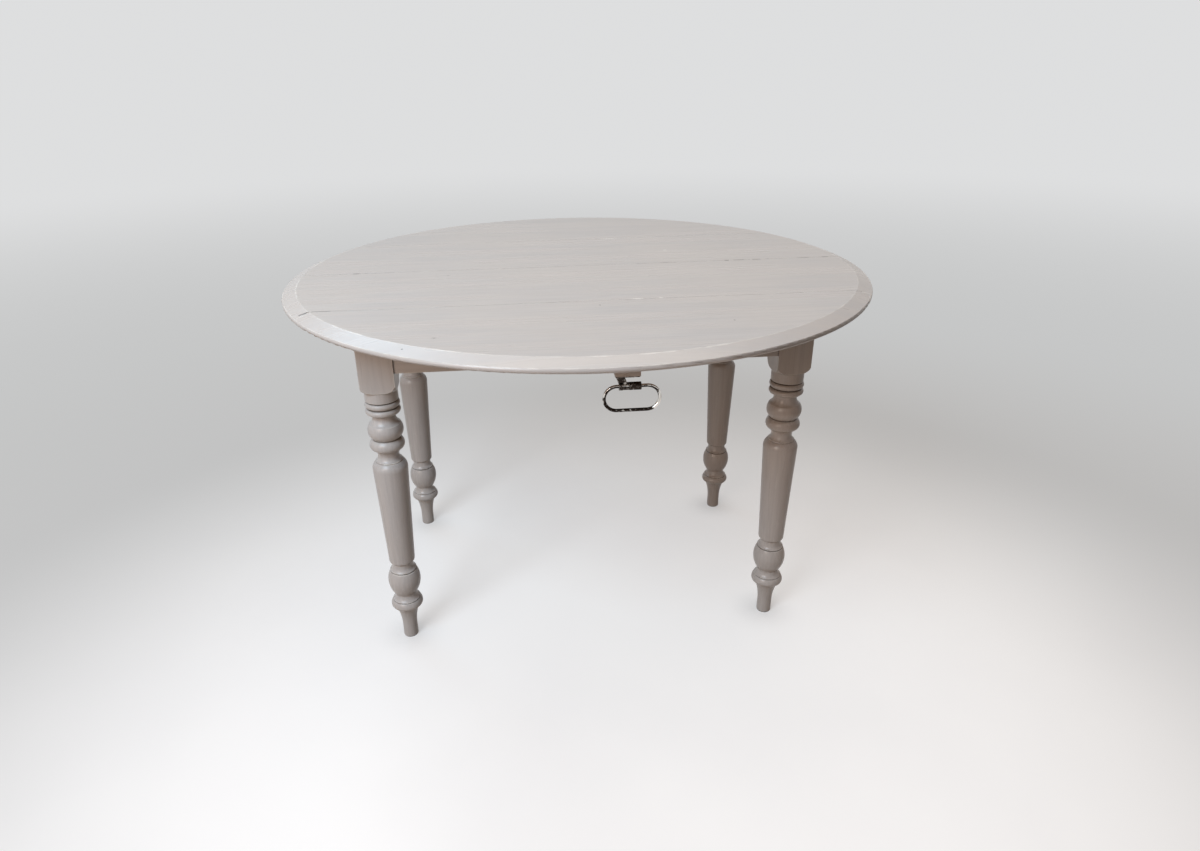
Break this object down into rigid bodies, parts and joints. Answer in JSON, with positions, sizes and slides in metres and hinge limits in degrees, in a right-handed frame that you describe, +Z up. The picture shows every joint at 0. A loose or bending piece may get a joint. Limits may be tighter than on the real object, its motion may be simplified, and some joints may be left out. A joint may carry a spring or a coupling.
{
  "type": "extending round table with drop leaves",
  "caption": "Round drop-leaf dining table on turned legs whose top pulls apart on wooden runners; hinged leaves, swinging leaf supports with ring pulls and lock hooks underneath.",
  "frame": {"origin": "on the floor under the centre of the closed top", "axes": "+X to the right along the seams, +Y from the front leaf to the rear leaf, the way the rear half pulls out, +Z up"},
  "size_m": [1.2, 1.2, 0.752],
  "materials": {
    "painted_wood": "satin paint in a warm light grey, brushed along the seams",
    "bare_wood": "unpainted hardwood, waxed where it slides",
    "steel_fasteners": "dulled steel",
    "hinge_steel": "dark mild steel",
    "dark_iron": "blackened iron, worn bright on its edges",
    "polished_steel": "polished round wire"
  },
  "bodies": {
    "front_half": {"front_top": "painted_wood", "front_long_apron": "painted_wood", "front_left_apron": "painted_wood", "front_right_apron": "painted_wood", "front_left_leg": "painted_wood", "front_right_leg": "painted_wood", "front_corner_blocks": "bare_wood", "front_top_buttons": "bare_wood", "front_button_screws": "steel_fasteners", "front_left_runner": "bare_wood", "front_right_runner": "bare_wood", "front_runner_screws": "steel_fasteners", "front_hinge_plates": "hinge_steel", "front_hinge_pins": "steel_fasteners", "front_hinge_screws": "steel_fasteners", "front_prop_bolt": "steel_fasteners", "front_hook_screws": "steel_fasteners", "alignment_tongues": "bare_wood"},
    "rear_half": {"rear_top": "painted_wood", "rear_long_apron": "painted_wood", "rear_left_apron": "painted_wood", "rear_right_apron": "painted_wood", "rear_left_leg": "painted_wood", "rear_right_leg": "painted_wood", "rear_corner_blocks": "bare_wood", "rear_top_buttons": "bare_wood", "rear_button_screws": "steel_fasteners", "rear_left_runner": "bare_wood", "rear_right_runner": "bare_wood", "rear_runner_screws": "steel_fasteners", "rear_hinge_plates": "hinge_steel", "rear_hinge_pins": "steel_fasteners", "rear_hinge_screws": "steel_fasteners", "rear_prop_bolt": "steel_fasteners", "rear_hook_screws": "steel_fasteners"},
    "middle_runners": {"left_middle_runner": "bare_wood", "right_middle_runner": "bare_wood"},
    "front_leaf": {"front_leaf": "painted_wood", "front_leaf_hinge_plates": "hinge_steel", "front_leaf_screws": "steel_fasteners"},
    "front_prop": {"front_prop": "bare_wood", "front_ring_bracket": "dark_iron", "front_bracket_screws": "steel_fasteners"},
    "front_ring": {"front_ring": "polished_steel"},
    "rear_leaf": {"rear_leaf": "painted_wood", "rear_leaf_hinge_plates": "hinge_steel", "rear_leaf_screws": "steel_fasteners"},
    "rear_prop": {"rear_prop": "bare_wood", "rear_ring_bracket": "dark_iron", "rear_bracket_screws": "steel_fasteners"},
    "rear_ring": {"rear_ring": "polished_steel"},
    "left_lock_hook": {"left_lock_hook": "hinge_steel"},
    "right_lock_hook": {"right_lock_hook": "hinge_steel"}
  },
  "joints": [
    {"name": "extension", "type": "slide", "parent": "front_half", "child": "rear_half", "axis": [0, 1, 0], "range_m": [0, 0.5]},
    {"name": "middle_runner_slide", "type": "slide", "parent": "front_half", "child": "middle_runners", "axis": [0, 1, 0], "range_m": [0, 0.25]},
    {"name": "front_leaf_hinge", "type": "hinge", "parent": "front_half", "child": "front_leaf", "pos_m": [0, -0.275, 0.7355], "axis": [1, 0, 0], "range_deg": [0, 90]},
    {"name": "front_prop_pivot", "type": "hinge", "parent": "front_half", "child": "front_prop", "pos_m": [0.031, -0.261, 0.645], "axis": [1, 0, 0], "range_deg": [0, 108]},
    {"name": "front_ring_swing", "type": "hinge", "parent": "front_prop", "child": "front_ring", "pos_m": [0.0365, -0.53, 0.685], "axis": [1, 0, 0], "range_deg": [-115, 100]},
    {"name": "rear_leaf_hinge", "type": "hinge", "parent": "rear_half", "child": "rear_leaf", "pos_m": [0, 0.275, 0.7355], "axis": [-1, 0, 0], "range_deg": [0, 90]},
    {"name": "rear_prop_pivot", "type": "hinge", "parent": "rear_half", "child": "rear_prop", "pos_m": [-0.031, 0.261, 0.645], "axis": [-1, 0, 0], "range_deg": [0, 108]},
    {"name": "rear_ring_swing", "type": "hinge", "parent": "rear_prop", "child": "rear_ring", "pos_m": [-0.0365, 0.53, 0.685], "axis": [-1, 0, 0], "range_deg": [-115, 100]},
    {"name": "left_hook_turn", "type": "hinge", "parent": "front_half", "child": "left_lock_hook", "pos_m": [-0.15, -0.035, 0.73145], "axis": [0, 0, 1], "range_deg": [0, 90]},
    {"name": "right_hook_turn", "type": "hinge", "parent": "front_half", "child": "right_lock_hook", "pos_m": [0.15, -0.035, 0.73145], "axis": [0, 0, -1], "range_deg": [0, 90]}
  ],
  "couplings": [
    {"joint": "middle_runner_slide", "follows": "extension", "ratio": 0.5},
    {"joint": "front_prop_pivot", "follows": "front_leaf_hinge", "ratio": 1.2},
    {"joint": "rear_prop_pivot", "follows": "rear_leaf_hinge", "ratio": 1.2}
  ]
}
